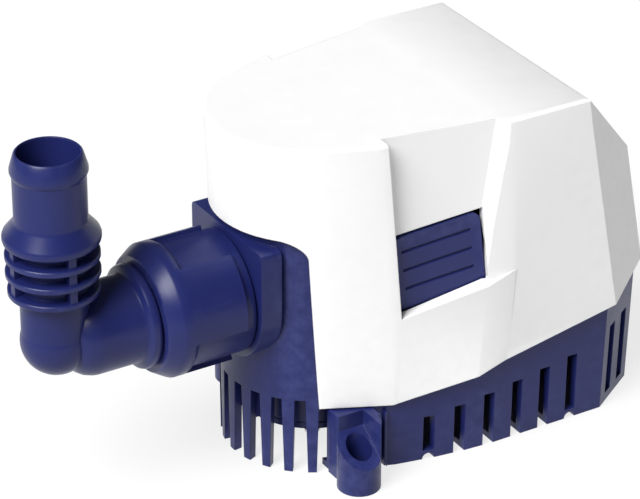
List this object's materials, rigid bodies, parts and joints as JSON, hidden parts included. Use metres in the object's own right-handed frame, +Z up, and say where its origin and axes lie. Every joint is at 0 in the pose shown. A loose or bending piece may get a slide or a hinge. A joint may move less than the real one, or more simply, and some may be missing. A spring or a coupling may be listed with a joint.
{
  "type": "bilge pump",
  "caption": "Submersible bilge pump: slotted strainer base, lift-off pump unit with two press-in release tabs, float switch inside and a swivelling elbow hose barb.",
  "frame": {"origin": "on the hull plane, under the middle of the whole pump's bounding box", "axes": "+Z up from the hull; -X towards the hose outlet, +X towards the float chamber; the release tabs face -Y and +Y"},
  "size_m": [0.2026, 0.087, 0.116],
  "materials": {
    "white_plastic": "white moulded plastic with a soft sheen",
    "navy_plastic": "dark navy moulded plastic, satin to gloss",
    "navy_tab_plastic": "navy moulded plastic, satin",
    "steel": "drawn and turned steel",
    "copper": "enamelled copper wire and copper bars",
    "bronze": "oil-filled sintered bronze",
    "carbon": "matte carbon",
    "ferrite": "dark grey ferrite and laminated iron",
    "rubber": "black rubber",
    "cream_plastic": "off-white moulded plastic",
    "board": "green circuit board"
  },
  "bodies": {
    "base": {"strainer_base": "navy_plastic"},
    "tab_near": {"release_tab_near": "navy_tab_plastic"},
    "tab_far": {"release_tab_far": "navy_tab_plastic"},
    "pump": {"cover": "white_plastic", "pump_housing": "navy_plastic", "volute_plate": "navy_plastic", "volute_screw_1": "steel", "volute_screw_2": "steel", "volute_screw_3": "steel", "motor_can": "steel", "motor_end_cap": "cream_plastic", "lower_bush": "bronze", "upper_bush": "bronze", "magnet_left": "ferrite", "magnet_right": "ferrite", "brush_holder": "cream_plastic", "brush_left": "carbon", "brush_right": "carbon", "shaft_seal": "rubber", "float_pin": "steel", "circuit_board": "board", "reed_switch": "cream_plastic", "switching_transistor": "rubber", "cable_gland": "rubber", "outlet_washer": "rubber", "check_valve_seat": "cream_plastic"},
    "rotor": {"motor_shaft": "steel", "armature_core": "ferrite", "armature_winding_lower": "copper", "armature_winding_upper": "copper", "commutator": "copper", "impeller": "cream_plastic", "impeller_collar": "steel"},
    "float": {"float": "cream_plastic", "float_magnet": "ferrite"},
    "flap": {"check_valve_flap": "rubber"},
    "nut": {"discharge_nut": "navy_plastic"},
    "elbow": {"discharge_elbow": "navy_plastic"}
  },
  "joints": [
    {"name": "pump_lift", "type": "slide", "parent": "base", "child": "pump", "axis": [0, 0, 1], "range_m": [0, 0.045]},
    {"name": "tab_press_near", "type": "hinge", "parent": "base", "child": "tab_near", "pos_m": [0.02225, -0.03143, 0.027], "axis": [-0.9858, 0.1679, 0], "range_deg": [0, 5], "stiffness_Nm_per_rad": 0.6},
    {"name": "tab_press_far", "type": "hinge", "parent": "base", "child": "tab_far", "pos_m": [0.02225, 0.03143, 0.027], "axis": [0.9858, 0.1679, 0], "range_deg": [0, 5], "stiffness_Nm_per_rad": 0.6},
    {"name": "rotor_spin", "type": "hinge", "parent": "pump", "child": "rotor", "pos_m": [-0.00206, 0, 0.027], "axis": [0, 0, 1], "continuous": true},
    {"name": "float_swing", "type": "hinge", "parent": "pump", "child": "float", "pos_m": [0.03894, 0, 0.033], "axis": [0, -1, 0], "range_deg": [0, 16]},
    {"name": "flap_swing", "type": "hinge", "parent": "pump", "child": "flap", "pos_m": [-0.03466, 0, 0.0625], "axis": [0, 1, 0], "range_deg": [0, 55]},
    {"name": "nut_turn", "type": "hinge", "parent": "pump", "child": "nut", "pos_m": [-0.03126, 0, 0.0558], "axis": [-1, 0, 0], "continuous": true},
    {"name": "elbow_swivel", "type": "hinge", "parent": "pump", "child": "elbow", "pos_m": [-0.05986, 0, 0.0558], "axis": [-1, 0, 0], "continuous": true}
  ]
}
